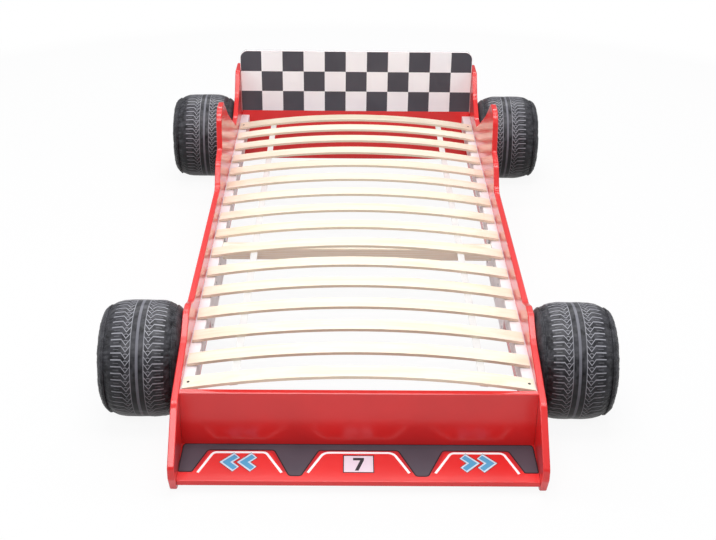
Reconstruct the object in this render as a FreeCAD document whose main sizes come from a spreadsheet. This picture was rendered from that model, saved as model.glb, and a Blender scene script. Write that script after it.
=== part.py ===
import FreeCAD, Part
import math
import os
import Sketcher

# A single bed for a child in the shape of a low racing car. Millimetres, +Z up, nose towards -Y.
# The origin is on the floor, at the middle of the bed's length and width.
#
# Two long side panels carry a front panel, a sloping nose board and a headboard. Each side panel
# is two boards that meet behind a joint plate. Ledgers along the inside carry sixteen sprung slats
# on two webbing straps, and a crossbar lies under them at the joint. Four stuffed tyres are held by
# plywood plates in their inner sides, bolted on through the side panels.

Vector = FreeCAD.Vector

doc = FreeCAD.newDocument("RaceCarBed")
sheet = doc.addObject("Spreadsheet::Sheet", "Sizes")

DRIVING_SIZES = (
    ("mattress_length", 2000, "mattress, along the bed"),
    ("mattress_width", 900, "mattress, across the bed"),
    ("end_play", 12, "bay longer than the mattress by this"),
    ("side_play", 5, "bay wider than the mattress by this, each side"),
    ("panel_thickness", 18, "all lacquered boards"),
    ("seat_gap", 0.2, "play between boards that meet edge to face"),
    ("edge_bevel", 2, "bevel along the boards' edges"),
    ("batten_round", 3, "rounding of the battens' and nose board's long edges"),
    ("slat_height", 200, "underside of the slat ends above the floor"),
    ("split_reach", 820, "front panel's face to the joint in each side panel"),
    ("rail_rise", 71, "top edge of the side panels above the slat ends"),
    ("nose_reach", 152, "nose tip ahead of the front panel's face"),
    ("nose_toe", 126, "nose's bottom corner ahead of the front panel's face"),
    ("toe_round", 18, "rounding of that corner"),
    ("nose_lip", 52, "height of the lower corner of the nose tip"),
    ("lip_round", 22, "rounding of that corner"),
    ("nose_chin", 84, "height of the upper corner of the nose tip"),
    ("chin_round", 16, "rounding of that corner"),
    ("brow_reach", 28, "top of the nose's slope ahead of the front panel's face"),
    ("brow_round", 60, "rounding there"),
    ("bump_start", 193, "where the wheel bump starts to rise"),
    ("bump_foot", 49, "height there above the slat ends"),
    ("bump_start_round", 80, "rounding there"),
    ("bump_crest", 270, "front end of the bump's top"),
    ("bump_crest_round", 30, "rounding there"),
    ("bump_tail", 312, "rear end of the bump's top"),
    ("bump_tail_round", 40, "rounding there"),
    ("bump_end", 366, "where the bump runs out"),
    ("bump_end_round", 60, "rounding there"),
    ("bump_rise", 92, "bump's top above the slat ends"),
    ("fin_foot", 901, "foot of the fin ahead of the headboard"),
    ("fin_foot_round", 40, "rounding there"),
    ("fin_step", 847, "top of the first rise, ahead of the headboard"),
    ("fin_step_rise", 144, "first rise above the slat ends"),
    ("fin_step_round", 40, "rounding there"),
    ("fin_root", 777, "root of the upright edge, ahead of the headboard"),
    ("fin_root_rise", 163, "height of that root above the slat ends"),
    ("fin_root_round", 10, "rounding there"),
    ("fin_front", 757, "front corner of the peak, ahead of the headboard"),
    ("fin_front_round", 60, "rounding there"),
    ("fin_back", 664, "rear corner of the peak, ahead of the headboard"),
    ("fin_back_round", 30, "rounding there"),
    ("fin_rise", 292, "peak of the fin above the slat ends"),
    ("fin_slope", 540, "where the rear slope eases, ahead of the headboard"),
    ("fin_slope_rise", 203, "height there above the slat ends"),
    ("fin_slope_round", 500, "rounding there"),
    ("notch_front", 275, "front end of the notch, ahead of the headboard"),
    ("notch_back", 195, "rear end of the notch, ahead of the headboard"),
    ("notch_rise", 60, "bottom of the notch above the slat ends"),
    ("notch_round", 60, "rounding at both ends of the notch"),
    ("wing_shoulder", 85, "where the wing steepens, ahead of the headboard"),
    ("wing_shoulder_rise", 110, "height there above the slat ends"),
    ("wing_shoulder_round", 60, "rounding there"),
    ("wing_front", 24, "front corner of the wing's top, ahead of the headboard"),
    ("wing_round", 35, "rounding of the wing's top corners"),
    ("wing_rise", 189, "top of the wing above the slat ends"),
    ("tail_reach", 90, "side panels behind the headboard"),
    ("tail_foot_round", 15, "rounding of their lower rear corner"),
    ("front_rise", 9, "front panel's top above the slat ends"),
    ("head_rise", 265, "headboard's top above the slat ends"),
    ("head_corner", 30, "rounding of the headboard's top corners"),
    ("board_lift", 15, "lower edge of the front panel and headboard above the floor"),
    ("nose_drop", 147, "back edge of the nose board below the slat ends"),
    ("nose_fall", 20, "nose board's fall to its front edge"),
    ("nose_depth", 131, "nose board's depth"),
    ("nose_thickness", 15, "nose board's thickness"),
    ("cleat_size", 14, "battens under the nose board"),
    ("cleat_length", 96, "length of those battens"),
    ("ledger_width", 30, "ledger, across the bed"),
    ("ledger_depth", 55, "ledger, height"),
    ("plate_length", 500, "joint plate, along the bed"),
    ("plate_depth", 112, "joint plate, height"),
    ("plate_corner", 8, "rounding of the joint plate's corners"),
    ("crossbar_width", 45, "crossbar, along the bed"),
    ("crossbar_depth", 40, "crossbar, height"),
    ("crossbar_drop", 10, "crossbar's top below the slat ends"),
    ("crossbar_reach", 855, "front panel's face to the crossbar"),
    ("bracket_leg", 40, "legs of the steel angle brackets"),
    ("bracket_gauge", 2, "sheet steel of the brackets"),
    ("bracket_width", 30, "height of the crossbar's brackets"),
    ("corner_bracket_height", 60, "height of the brackets in the bed's corners"),
    ("corner_bracket_low", 45, "lower corner brackets above the end boards' lower edges"),
    ("corner_bracket_high", 60, "upper corner brackets below the top of the wing"),
    ("slat_width", 53, "slat, along the bed"),
    ("slat_thickness", 8, "slat's thickness"),
    ("slat_play", 4.5, "slat's end to the side panel"),
    ("slat_arch", 39, "rise of the slat's middle"),
    ("slat_first", 3.5, "front panel's back to the first slat"),
    ("slat_last", 116, "last slat to the headboard"),
    ("slat_drift", 410, "how far the spacing drifts along the mat"),
    ("strap_offset", 318, "straps from the bed's middle"),
    ("strap_width", 21, "webbing's width"),
    ("strap_thickness", 1.6, "webbing's thickness"),
    ("tyre_radius", 158, "tyre at its crown"),
    ("tyre_width", 222, "tyre from the side panel to its outermost bulge"),
    ("tyre_seam", 146, "radius of the seams at the tread's edges"),
    ("tyre_tread", 175, "tread between its seams"),
    ("tyre_inset", 19, "inner seam from the side panel"),
    ("tyre_inner", 122, "radius of the flat inner side against the side panel"),
    ("tyre_squash", 3, "how far the floor flattens the tyre"),
    ("tyre_bulge", 17, "how far the outer sidewall stands out between its seams"),
    ("tyre_lift", 6, "how far that bulge rises towards the tread"),
    ("tyre_hub", 84, "radius of the sewn hub panel"),
    ("tyre_hub_crown", 8, "crown of the hub panel"),
    ("tyre_hub_flat", 21, "radius of the flat in the hub's middle"),
    ("soft_gap", 0.3, "stuffed pieces stay this clear of their neighbours"),
    ("front_wheel_reach", 260, "front wheel's centre behind the front panel's face"),
    ("rear_wheel_reach", 110, "rear wheel's centre ahead of the headboard"),
    ("wheel_plate_half", 80, "half the side of the plywood plate in the tyre's inner side"),
    ("wheel_plate_thickness", 12, "its thickness"),
    ("wheel_bolt_spread", 50, "wheel bolts from the wheel's middle, along the bed"),
    ("wheel_bolt_drop", 45, "wheel bolts below the wheel's middle"),
    ("wheel_bolt_radius", 4, "wheel bolt's shank"),
    ("wheel_bolt_head", 8, "hexagonal head, from its middle to a corner"),
    ("wheel_bolt_head_depth", 5, "thickness of its head"),
    ("hole_play", 0.2, "play around a shank in its hole"),
)
for row, (alias, number, note) in enumerate(DRIVING_SIZES, start=1):
    sheet.set("A%d" % row, note)
    sheet.set("B%d" % row, str(number))
    sheet.setAlias("B%d" % row, alias)
doc.recompute()

SLAT_COUNT = 16
SLAT_DRIFT_TURN = 0.3       # share of the mat's length where the slats' drift changes sides
TREAD_BANDS = 4             # straight bands that make the crown of a tyre's tread
SIDEWALL_BANDS = 3          # and the bulge of its sidewall
TYRE_SIDES = 36             # flats round a tyre
SIDES = {"left": -1, "right": 1}


class Size:
    """A length from the sheet: the number it has now and the expression that keeps it bound."""

    def __init__(self, number, text):
        self.number = float(number)
        self.text = text

    def __add__(self, other):
        other = as_size(other)
        return Size(self.number + other.number, "(%s + %s)" % (self.text, other.text))

    def __sub__(self, other):
        other = as_size(other)
        return Size(self.number - other.number, "(%s - %s)" % (self.text, other.text))

    def __mul__(self, other):
        other = as_size(other)
        return Size(self.number * other.number, "(%s * %s)" % (self.text, other.text))

    def __truediv__(self, other):
        other = as_size(other)
        return Size(self.number / other.number, "(%s / %s)" % (self.text, other.text))

    def __neg__(self):
        return self * -1


def as_size(value):
    """Give a plain number the form of a Size."""
    if isinstance(value, Size):
        return value
    return Size(value, "(%.9g)" % value)


def size(alias):
    """The driving size of that name."""
    return Size(sheet.get(alias), "Sizes." + alias)


ZERO = Size(0, "0")

# Places that several pieces share.
thickness = size("panel_thickness")
seat_gap = size("seat_gap")
inner_half = size("mattress_width") / 2 + size("side_play")
bay_length = size("mattress_length") + size("end_play")
overall_length = size("nose_reach") + thickness + bay_length + thickness + size("tail_reach")
front_face = size("nose_reach") - overall_length / 2
front_back = front_face + thickness
head_face = front_back + bay_length
tail_end = head_face + thickness + size("tail_reach")
split = front_face + size("split_reach")
slat_height = size("slat_height")
ledger_inner = inner_half - size("ledger_width")
wheel_height = size("tyre_radius") - size("tyre_squash")
wheel_places = {
    "front": front_face + size("front_wheel_reach"),
    "rear": head_face - size("rear_wheel_reach"),
}

plate_top = slat_height - size("ledger_depth") - seat_gap
plate_foot = plate_top - size("plate_depth")
front_top = slat_height + size("front_rise")
wing_top = slat_height + size("wing_rise")
board_lift = size("board_lift")
nodes = []


def new_body(label, x=ZERO, y=ZERO, z=ZERO):
    """Start a sub-part whose own origin lies at the given place."""
    body = doc.addObject("PartDesign::Body", label)
    body.Label = label
    for axis, place in zip("xyz", (x, y, z)):
        if place is not ZERO:
            body.setExpression(".Placement.Base." + axis, place.text)
    nodes.append(body)
    return body


def origin_feature(body, role):
    """The body's own origin plane or axis of that role."""
    return [item for item in body.Origin.OriginFeatures if item.Role == role][0]


def new_sketch(body, role, name, offset=None):
    """A sketch on one of the body's origin planes, or that far along the plane's normal."""
    sketch = body.newObject("Sketcher::SketchObject", body.Label + "_" + name)
    sketch.AttachmentSupport = [(origin_feature(body, role), "")]
    sketch.MapMode = "FlatFace"
    if offset is not None:
        sketch.setExpression("AttachmentOffset.Base.z", offset.text)
        sketch.AttachmentOffset = FreeCAD.Placement(Vector(0, 0, offset.number), FreeCAD.Rotation())
    return sketch


class Constraints:
    """The constraints of one sketch, added in one go, and the expressions that drive them."""

    def __init__(self, sketch):
        self.sketch = sketch
        self.items = []
        self.bound = []

    def add(self, *arguments):
        self.items.append(Sketcher.Constraint(*arguments))

    def drive(self, kind, measure, *geometry):
        """A dimension that follows a size of the sheet."""
        self.bound.append((self.sketch.ConstraintCount + len(self.items), measure.text))
        self.items.append(Sketcher.Constraint(kind, *geometry, measure.number))

    def place(self, geometry, point, u, v):
        """Tie a point to its place in the sketch's own axes."""
        for kind, place, axis in (("DistanceX", u, -2), ("DistanceY", v, -1)):
            if place is ZERO:
                self.add("PointOnObject", geometry, point, axis)
            else:
                self.drive(kind, place, -1, 1, geometry, point)

    def finish(self):
        self.sketch.addConstraint(self.items)
        for index, text in self.bound:
            self.sketch.setExpression("Constraints[%d]" % index, text)


def draw_outline(sketch, corners):
    """A closed run of straight edges through corners (u, v, radius), sharp where radius is None."""
    count = len(corners)
    points = [Vector(u.number, v.number, 0) for u, v, radius in corners]
    arrive = list(points)
    leave = list(points)
    arcs = {}
    for index, (u, v, radius) in enumerate(corners):
        if radius is None:
            continue
        here = points[index]
        back = (points[index - 1] - here).normalize()
        ahead = (points[(index + 1) % count] - here).normalize()
        half = back.getAngle(ahead) / 2
        arrive[index] = here + back * (radius.number / math.tan(half))
        leave[index] = here + ahead * (radius.number / math.tan(half))
        centre = here + (back + ahead).normalize() * (radius.number / math.sin(half))
        turns_left = back.cross(ahead).z < 0
        first, last = (arrive[index], leave[index]) if turns_left else (leave[index], arrive[index])
        start = math.atan2(first.y - centre.y, first.x - centre.x)
        sweep = (math.atan2(last.y - centre.y, last.x - centre.x) - start) % (2 * math.pi)
        circle = Part.Circle(centre, Vector(0, 0, 1), radius.number)
        arcs[index] = (Part.ArcOfCircle(circle, start, start + sweep), (1, 2) if turns_left else (2, 1))
    lines = []
    for index in range(count):
        line = Part.LineSegment(leave[index], arrive[(index + 1) % count])
        lines.append(sketch.addGeometry(line, False))
    rules = Constraints(sketch)
    for index, (u, v, radius) in enumerate(corners):
        line_in = lines[index - 1]
        line_out = lines[index]
        if radius is None:
            rules.add("Coincident", line_in, 2, line_out, 1)
            rules.place(line_out, 1, u, v)
            continue
        arc, (arc_in, arc_out) = arcs[index]
        arc_id = sketch.addGeometry(arc, False)
        corner_id = sketch.addGeometry(Part.Point(points[index]), True)
        rules.add("Tangent", line_in, 2, arc_id, arc_in)
        rules.add("Tangent", arc_id, arc_out, line_out, 1)
        rules.drive("Radius", radius, arc_id)
        rules.add("PointOnObject", corner_id, 1, line_in)
        rules.add("PointOnObject", corner_id, 1, line_out)
        rules.place(corner_id, 1, u, v)
    rules.finish()


def draw_box(sketch, left, low, right, high):
    """A rectangle between two corners."""
    draw_outline(sketch, [(left, low, None), (right, low, None), (right, high, None), (left, high, None)])


def draw_circles(sketch, places, radius):
    """Equal circles at the given places."""
    rules = Constraints(sketch)
    for u, v in places:
        circle = Part.Circle(Vector(u.number, v.number, 0), Vector(0, 0, 1), radius.number)
        circle_id = sketch.addGeometry(circle, False)
        rules.place(circle_id, 3, u, v)
        rules.drive("Radius", radius, circle_id)
    rules.finish()


def draw_hexagon(sketch, place, radius):
    """A regular hexagon about a place, with its corners at that radius."""
    corners = []
    for number in range(6):
        angle = math.radians(60 * number)
        corners.append((place[0] + radius * math.cos(angle), place[1] + radius * math.sin(angle), None))
    draw_outline(sketch, corners)


def draw_arched_strip(sketch, left, right, centre, inner, outer):
    """The slice between two arcs about (0, centre), cut off upright at its left and right ends."""
    def arc_point(radius, u):
        return Vector(u.number, centre.number + math.sqrt(radius.number ** 2 - u.number ** 2), 0)

    def arc(radius):
        circle = Part.Circle(Vector(0, centre.number, 0), Vector(0, 0, 1), radius.number)
        return Part.ArcOfCircle(circle, math.acos(right.number / radius.number),
                                math.acos(left.number / radius.number))

    low = sketch.addGeometry(arc(inner), False)
    high = sketch.addGeometry(arc(outer), False)
    right_end = sketch.addGeometry(Part.LineSegment(arc_point(inner, right), arc_point(outer, right)), False)
    left_end = sketch.addGeometry(Part.LineSegment(arc_point(outer, left), arc_point(inner, left)), False)
    rules = Constraints(sketch)
    rules.add("Coincident", low, 1, right_end, 1)
    rules.add("Coincident", right_end, 2, high, 1)
    rules.add("Coincident", high, 2, left_end, 1)
    rules.add("Coincident", left_end, 2, low, 2)
    rules.place(low, 3, ZERO, centre)
    rules.add("Coincident", low, 3, high, 3)
    rules.drive("Radius", inner, low)
    rules.drive("Radius", outer, high)
    rules.add("Vertical", right_end)
    rules.add("Vertical", left_end)
    rules.drive("DistanceX", right, -1, 1, right_end, 1)
    rules.drive("DistanceX", left, -1, 1, left_end, 1)
    rules.finish()


def pad(body, sketch, length, backwards=False):
    """Extrude the sketch along its normal, or against it."""
    feature = body.newObject("PartDesign::Pad", sketch.Name + "_pad")
    feature.Profile = sketch
    feature.setExpression("Length", length.text)
    feature.Reversed = backwards
    sketch.Visibility = False
    return feature


def pocket(body, sketch, depth, along_normal=False):
    """Cut the sketch into the body, against the sketch's normal or along it, and check that it cuts."""
    doc.recompute()
    before = body.Shape.Volume
    feature = body.newObject("PartDesign::Pocket", sketch.Name + "_pocket")
    feature.Profile = sketch
    feature.setExpression("Length", depth.text)
    feature.Reversed = along_normal
    sketch.Visibility = False
    doc.recompute()
    if not body.Shape.Volume < before:
        raise RuntimeError(sketch.Name + " cuts nothing")
    return feature


def mirror(body, features):
    """Repeat the features on the other side of the body's YZ plane."""
    feature = body.newObject("PartDesign::Mirrored", body.Label + "_mirrored")
    feature.Originals = features
    feature.MirrorPlane = (origin_feature(body, "YZ_Plane"), [""])
    body.Tip = feature
    return feature


def ease_edges(body, base, kind, measure, wanted):
    """Bevel or round every edge of the feature that passes the test."""
    doc.recompute()
    names = ["Edge%d" % number for number, edge in enumerate(base.Shape.Edges, start=1) if wanted(edge)]
    feature = body.newObject("PartDesign::" + kind, base.Name + "_eased")
    feature.Base = (base, names)
    feature.setExpression({"Chamfer": "Size", "Fillet": "Radius"}[kind], measure.text)
    return feature


def wheel_bolt_places(end):
    """Where a wheel's two bolts pass through the side panel, as (Y, Z), clear of the ledger."""
    height = wheel_height - size("wheel_bolt_drop")
    spread = size("wheel_bolt_spread")
    return [(wheel_places[end] - spread, height), (wheel_places[end] + spread, height)]


def front_half_outline():
    """Nose, brow, wheel bump and the start of the straight rail."""
    rail = slat_height + size("rail_rise")
    bump = slat_height + size("bump_rise")
    tip = front_face - size("nose_reach")
    return [
        (split, ZERO, None),
        (split, rail, None),
        (front_face + size("bump_end"), rail, size("bump_end_round")),
        (front_face + size("bump_tail"), bump, size("bump_tail_round")),
        (front_face + size("bump_crest"), bump, size("bump_crest_round")),
        (front_face + size("bump_start"), slat_height + size("bump_foot"), size("bump_start_round")),
        (front_face - size("brow_reach"), slat_height, size("brow_round")),
        (tip, size("nose_chin"), size("chin_round")),
        (tip, size("nose_lip"), size("lip_round")),
        (front_face - size("nose_toe"), ZERO, size("toe_round")),
    ]


def rear_half_outline():
    """The straight rail, the fin with its stepped front, the notch and the wing."""
    rail = slat_height + size("rail_rise")
    peak = slat_height + size("fin_rise")
    notch = slat_height + size("notch_rise")
    step = slat_height + size("fin_step_rise")
    root = slat_height + size("fin_root_rise")
    slope = slat_height + size("fin_slope_rise")
    shoulder = slat_height + size("wing_shoulder_rise")
    return [
        (tail_end, ZERO, size("tail_foot_round")),
        (tail_end, wing_top, size("wing_round")),
        (head_face - size("wing_front"), wing_top, size("wing_round")),
        (head_face - size("wing_shoulder"), shoulder, size("wing_shoulder_round")),
        (head_face - size("notch_back"), notch, size("notch_round")),
        (head_face - size("notch_front"), notch, size("notch_round")),
        (head_face - size("fin_slope"), slope, size("fin_slope_round")),
        (head_face - size("fin_back"), peak, size("fin_back_round")),
        (head_face - size("fin_front"), peak, size("fin_front_round")),
        (head_face - size("fin_root"), root, size("fin_root_round")),
        (head_face - size("fin_step"), step, size("fin_step_round")),
        (head_face - size("fin_foot"), rail, size("fin_foot_round")),
        (split, rail, None),
        (split, ZERO, None),
    ]


def make_side_panel(side, half):
    """One half of a side panel, from its inner face outwards."""
    body = new_body("side_panel_%s_%s" % (side, half), x=inner_half * SIDES[side])
    outward = SIDES[side] > 0
    sketch = new_sketch(body, "YZ_Plane", "outline")
    draw_outline(sketch, front_half_outline() if half == "front" else rear_half_outline())
    board = pad(body, sketch, thickness, backwards=not outward)

    def on_a_face(edge):
        box = edge.BoundBox
        along_face = box.XLength < 0.01
        at_joint = abs(box.YMin - split.number) < 0.01 and box.YLength < 0.01
        on_floor = box.ZMax < 0.01
        return along_face and not at_joint and not on_floor

    ease_edges(body, board, "Chamfer", size("edge_bevel"), on_a_face)
    sketch = new_sketch(body, "YZ_Plane", "wheel_bolts")
    draw_circles(sketch, wheel_bolt_places(half), size("wheel_bolt_radius") + size("hole_play"))
    pocket(body, sketch, thickness, along_normal=outward)
    return body


def make_joint_plate(side):
    """The plate inside a side panel that joins its two halves, under the ledger."""
    body = new_body("joint_plate_" + side, x=inner_half * SIDES[side])
    sketch = new_sketch(body, "YZ_Plane", "outline")
    half_length = size("plate_length") / 2
    corner = size("plate_corner")
    draw_outline(sketch, [
        (split - half_length, plate_foot, corner),
        (split + half_length, plate_foot, corner),
        (split + half_length, plate_top, corner),
        (split - half_length, plate_top, corner),
    ])
    pad(body, sketch, thickness, backwards=SIDES[side] > 0)
    return body


def make_ledger(side, half):
    """A batten that carries the slats' ends, on the inside of one half of a side panel."""
    body = new_body("ledger_%s_%s" % (side, half), x=inner_half * SIDES[side])
    start, end = (front_back, split) if half == "front" else (split, head_face)
    sketch = new_sketch(body, "YZ_Plane", "outline")
    draw_box(sketch, start + seat_gap, slat_height - size("ledger_depth"), end - seat_gap, slat_height)
    batten = pad(body, sketch, size("ledger_width"), backwards=SIDES[side] > 0)

    def inner_long_edge(edge):
        box = edge.BoundBox
        inside = abs(abs(box.XMin) - size("ledger_width").number) < 0.01 and box.XLength < 0.01
        return inside and box.YLength > 1

    ease_edges(body, batten, "Fillet", size("batten_round"), inner_long_edge)
    return body


def slat_place(number):
    """Front edge of a slat. Slat 1 lies by the headboard, and the spacing closes up towards it."""
    along = (SLAT_COUNT - number) / (SLAT_COUNT - 1)
    start = front_back + size("slat_first")
    run = head_face - size("slat_last") - size("slat_width") - start
    return start + run * along + size("slat_drift") * (along * (1 - along) * (along - SLAT_DRIFT_TURN))


def slat_half():
    """Half of a slat's length."""
    return inner_half - size("slat_play")


def slat_inner_radius():
    """Radius of a slat's underside, from its length and its rise."""
    half = slat_half()
    arch = size("slat_arch")
    return (half * half + arch * arch) / (arch * 2)


def make_slat(number):
    """A sprung slat: a strip bent up in its middle, with its ends on the ledgers."""
    body = new_body("slat_%02d" % number, y=slat_place(number), z=slat_height + seat_gap)
    radius = slat_inner_radius()
    centre = size("slat_arch") - radius
    sketch = new_sketch(body, "XZ_Plane", "section")
    draw_arched_strip(sketch, -slat_half(), slat_half(), centre, radius, radius + size("slat_thickness"))
    pad(body, sketch, size("slat_width"), backwards=True)
    return body


def make_strap(side):
    """Webbing under all slats, which keeps them apart."""
    first = slat_place(SLAT_COUNT)
    length = slat_place(1) + size("slat_width") - first
    body = new_body("webbing_strap_" + side, y=first, z=slat_height + seat_gap)
    radius = slat_inner_radius()
    centre = size("slat_arch") - radius
    outer = radius - seat_gap
    near = size("strap_offset") - size("strap_width") / 2
    far = size("strap_offset") + size("strap_width") / 2
    left, right = (near, far) if SIDES[side] > 0 else (-far, -near)
    sketch = new_sketch(body, "XZ_Plane", "section")
    draw_arched_strip(sketch, left, right, centre, outer - size("strap_thickness"), outer)
    pad(body, sketch, length, backwards=True)
    return body


def make_front_panel():
    """The upright board across the front end."""
    half = inner_half - seat_gap
    body = new_body("front_panel", y=front_face)
    sketch = new_sketch(body, "XZ_Plane", "outline")
    draw_box(sketch, -half, board_lift, half, front_top)
    board = pad(body, sketch, thickness, backwards=True)

    def top_edge(edge):
        box = edge.BoundBox
        return box.ZLength < 0.01 and box.XLength > 1 and abs(box.ZMax - front_top.number) < 0.01

    ease_edges(body, board, "Chamfer", size("edge_bevel"), top_edge)
    return body


def make_headboard():
    """The upright board across the head end, taller than the side panels' wings."""
    half = inner_half - seat_gap
    top = slat_height + size("head_rise")
    body = new_body("headboard", y=head_face)
    sketch = new_sketch(body, "XZ_Plane", "outline")
    draw_outline(sketch, [
        (-half, board_lift, None),
        (half, board_lift, None),
        (half, top, size("head_corner")),
        (-half, top, size("head_corner")),
    ])
    board = pad(body, sketch, thickness, backwards=True)

    def upper_face_edge(edge):
        box = edge.BoundBox
        lowest = top.number - size("head_corner").number
        return box.YLength < 0.01 and box.ZMin > lowest - 0.01

    ease_edges(body, board, "Chamfer", size("edge_bevel"), upper_face_edge)
    return body


def nose_line(reach, drop=ZERO):
    """Height of the nose board's top that far ahead of the front panel, less a drop."""
    start = slat_height - size("nose_drop")
    return start - size("nose_fall") * reach / size("nose_depth") - drop


def make_nose_board():
    """The printed board that slopes from the front panel down to the nose."""
    half = inner_half - seat_gap
    body = new_body("nose_board", x=-half)
    sketch = new_sketch(body, "YZ_Plane", "section")
    back = front_face - seat_gap
    tip = front_face - size("nose_depth")
    board = size("nose_thickness")
    draw_outline(sketch, [
        (back, nose_line(seat_gap, board), None),
        (back, nose_line(seat_gap), None),
        (tip, nose_line(size("nose_depth")), size("batten_round")),
        (tip, nose_line(size("nose_depth"), board), size("batten_round")),
    ])
    pad(body, sketch, half * 2)
    return body


def make_nose_cleats():
    """Battens on the side panels' inner faces, under the nose board's ends."""
    body = new_body("nose_cleats")
    body.AllowCompound = True
    drop = size("nose_thickness") + seat_gap
    rear = (size("nose_depth") - size("cleat_length")) / 2
    fore = rear + size("cleat_length")
    sketch = new_sketch(body, "YZ_Plane", "section", offset=inner_half - size("cleat_size") - seat_gap)
    draw_outline(sketch, [
        (front_face - rear, nose_line(rear, drop + size("cleat_size")), None),
        (front_face - rear, nose_line(rear, drop), None),
        (front_face - fore, nose_line(fore, drop), None),
        (front_face - fore, nose_line(fore, drop + size("cleat_size")), None),
    ])
    cleat = pad(body, sketch, size("cleat_size"))
    mirror(body, [cleat])
    return body


def make_crossbar():
    """The batten under the slats where the side panels are joined."""
    half = ledger_inner - seat_gap
    top = slat_height - size("crossbar_drop")
    body = new_body("crossbar", x=-half, y=front_face + size("crossbar_reach"))
    sketch = new_sketch(body, "YZ_Plane", "section")
    draw_outline(sketch, [
        (ZERO, top - size("crossbar_depth"), size("batten_round")),
        (size("crossbar_width"), top - size("crossbar_depth"), size("batten_round")),
        (size("crossbar_width"), top, size("batten_round")),
        (ZERO, top, size("batten_round")),
    ])
    pad(body, sketch, half * 2)
    return body


def draw_angle(sketch, edge, back):
    """The section of an angle bracket whose legs lie along the planes X = edge and Y = back."""
    leg = size("bracket_leg")
    gauge = size("bracket_gauge")
    draw_outline(sketch, [
        (edge - leg, back, None),
        (edge, back, None),
        (edge, back + leg, None),
        (edge - gauge, back + leg, None),
        (edge - gauge, back + gauge, None),
        (edge - leg, back + gauge, None),
    ])


def make_crossbar_brackets():
    """Steel angles behind the crossbar's ends, on the ledgers' inner faces."""
    low = slat_height - size("crossbar_drop") - (size("crossbar_depth") + size("bracket_width")) / 2
    back = front_face + size("crossbar_reach") + size("crossbar_width")
    body = new_body("crossbar_brackets", z=low)
    body.AllowCompound = True
    sketch = new_sketch(body, "XY_Plane", "section")
    draw_angle(sketch, ledger_inner - seat_gap, back + seat_gap)
    angle = pad(body, sketch, size("bracket_width"))
    mirror(body, [angle])
    return body


def make_corner_brackets():
    """Steel angles between the side panels and the backs of the front panel and the headboard."""
    low = board_lift + size("corner_bracket_low")
    high = wing_top - size("corner_bracket_high") - size("corner_bracket_height")
    body = new_body("corner_brackets")
    body.AllowCompound = True
    angles = []
    for name, back, height in (("front", front_back, low), ("head_low", head_face + thickness, low),
                               ("head_high", head_face + thickness, high)):
        sketch = new_sketch(body, "XY_Plane", name, offset=height)
        draw_angle(sketch, inner_half - seat_gap, back + seat_gap)
        angles.append(pad(body, sketch, size("corner_bracket_height")))
    mirror(body, angles)
    return body


def swell(start, end, out, up, bands):
    """The points between two seams where the stuffing pushes the cover out, in straight bands."""
    points = []
    for band in range(1, bands):
        share = band / bands
        rise = 4 * share * (1 - share)
        points.append((
            start[0] + (end[0] - start[0]) * share + out * rise,
            start[1] + (end[1] - start[1]) * share + up * rise,
        ))
    return points


def tyre_section():
    """The tyre's seams and bulges, as (distance from the side panel's face, radius)."""
    inner_side = (size("soft_gap"), size("tyre_inner"))
    inner_seam = (size("tyre_inset"), size("tyre_seam"))
    outer_seam = (size("tyre_inset") + size("tyre_tread"), size("tyre_seam"))
    hub_crown = size("tyre_hub_crown")
    hub_seam = (size("tyre_width") - hub_crown, size("tyre_hub"))
    hub_middle = (size("tyre_width"), size("tyre_hub_flat"))
    return [
        inner_side,
        inner_seam,
        *swell(inner_seam, outer_seam, ZERO, size("tyre_radius") - size("tyre_seam"), TREAD_BANDS),
        outer_seam,
        *swell(outer_seam, hub_seam, size("tyre_bulge"), size("tyre_lift"), SIDEWALL_BANDS),
        hub_seam,
        *swell(hub_seam, hub_middle, hub_crown / 4, ZERO, 2),
        hub_middle,
    ]


def flat_face(corners):
    """The flat face inside a closed run of corners."""
    return Part.Face(Part.makePolygon(corners + corners[:1]))


def make_tyre(side, end):
    """A stuffed tyre: crowned tread, seams that draw it in, bulging sidewall, flat on the floor."""
    sign = SIDES[side]
    axle = Vector((inner_half + thickness).number * sign, wheel_places[end].number, wheel_height.number)
    rings = []
    for out, radius in tyre_section():
        ring = []
        for number in range(TYRE_SIDES):
            angle = 2 * math.pi * number / TYRE_SIDES
            ring.append(axle + Vector(out.number * sign, radius.number * math.cos(angle),
                                      radius.number * math.sin(angle)))
        rings.append(ring)
    faces = [flat_face(rings[0]), flat_face(rings[-1])]
    for inner, outer in zip(rings, rings[1:]):
        for number in range(TYRE_SIDES):
            faces.append(flat_face([inner[number - 1], inner[number], outer[number], outer[number - 1]]))
    cushion = Part.makeSolid(Part.makeShell(faces))
    gap = size("soft_gap").number
    reach = size("wheel_plate_half").number + gap
    depth = size("wheel_plate_thickness").number + gap
    recess = Part.makeBox(depth * 2, reach * 2, reach * 2, axle - Vector(depth, reach, reach))
    radius = size("tyre_radius").number
    below = Vector(axle.x - radius * 2, axle.y - radius, -radius)
    floor = Part.makeBox(radius * 4, radius * 2, radius, below)
    tyre = doc.addObject("Part::Feature", "tyre_%s_%s" % (end, side))
    tyre.Shape = cushion.cut([recess, floor])
    tyre.Placement = FreeCAD.Placement()
    tyre.Label = tyre.Name
    nodes.append(tyre)
    return tyre


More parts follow.
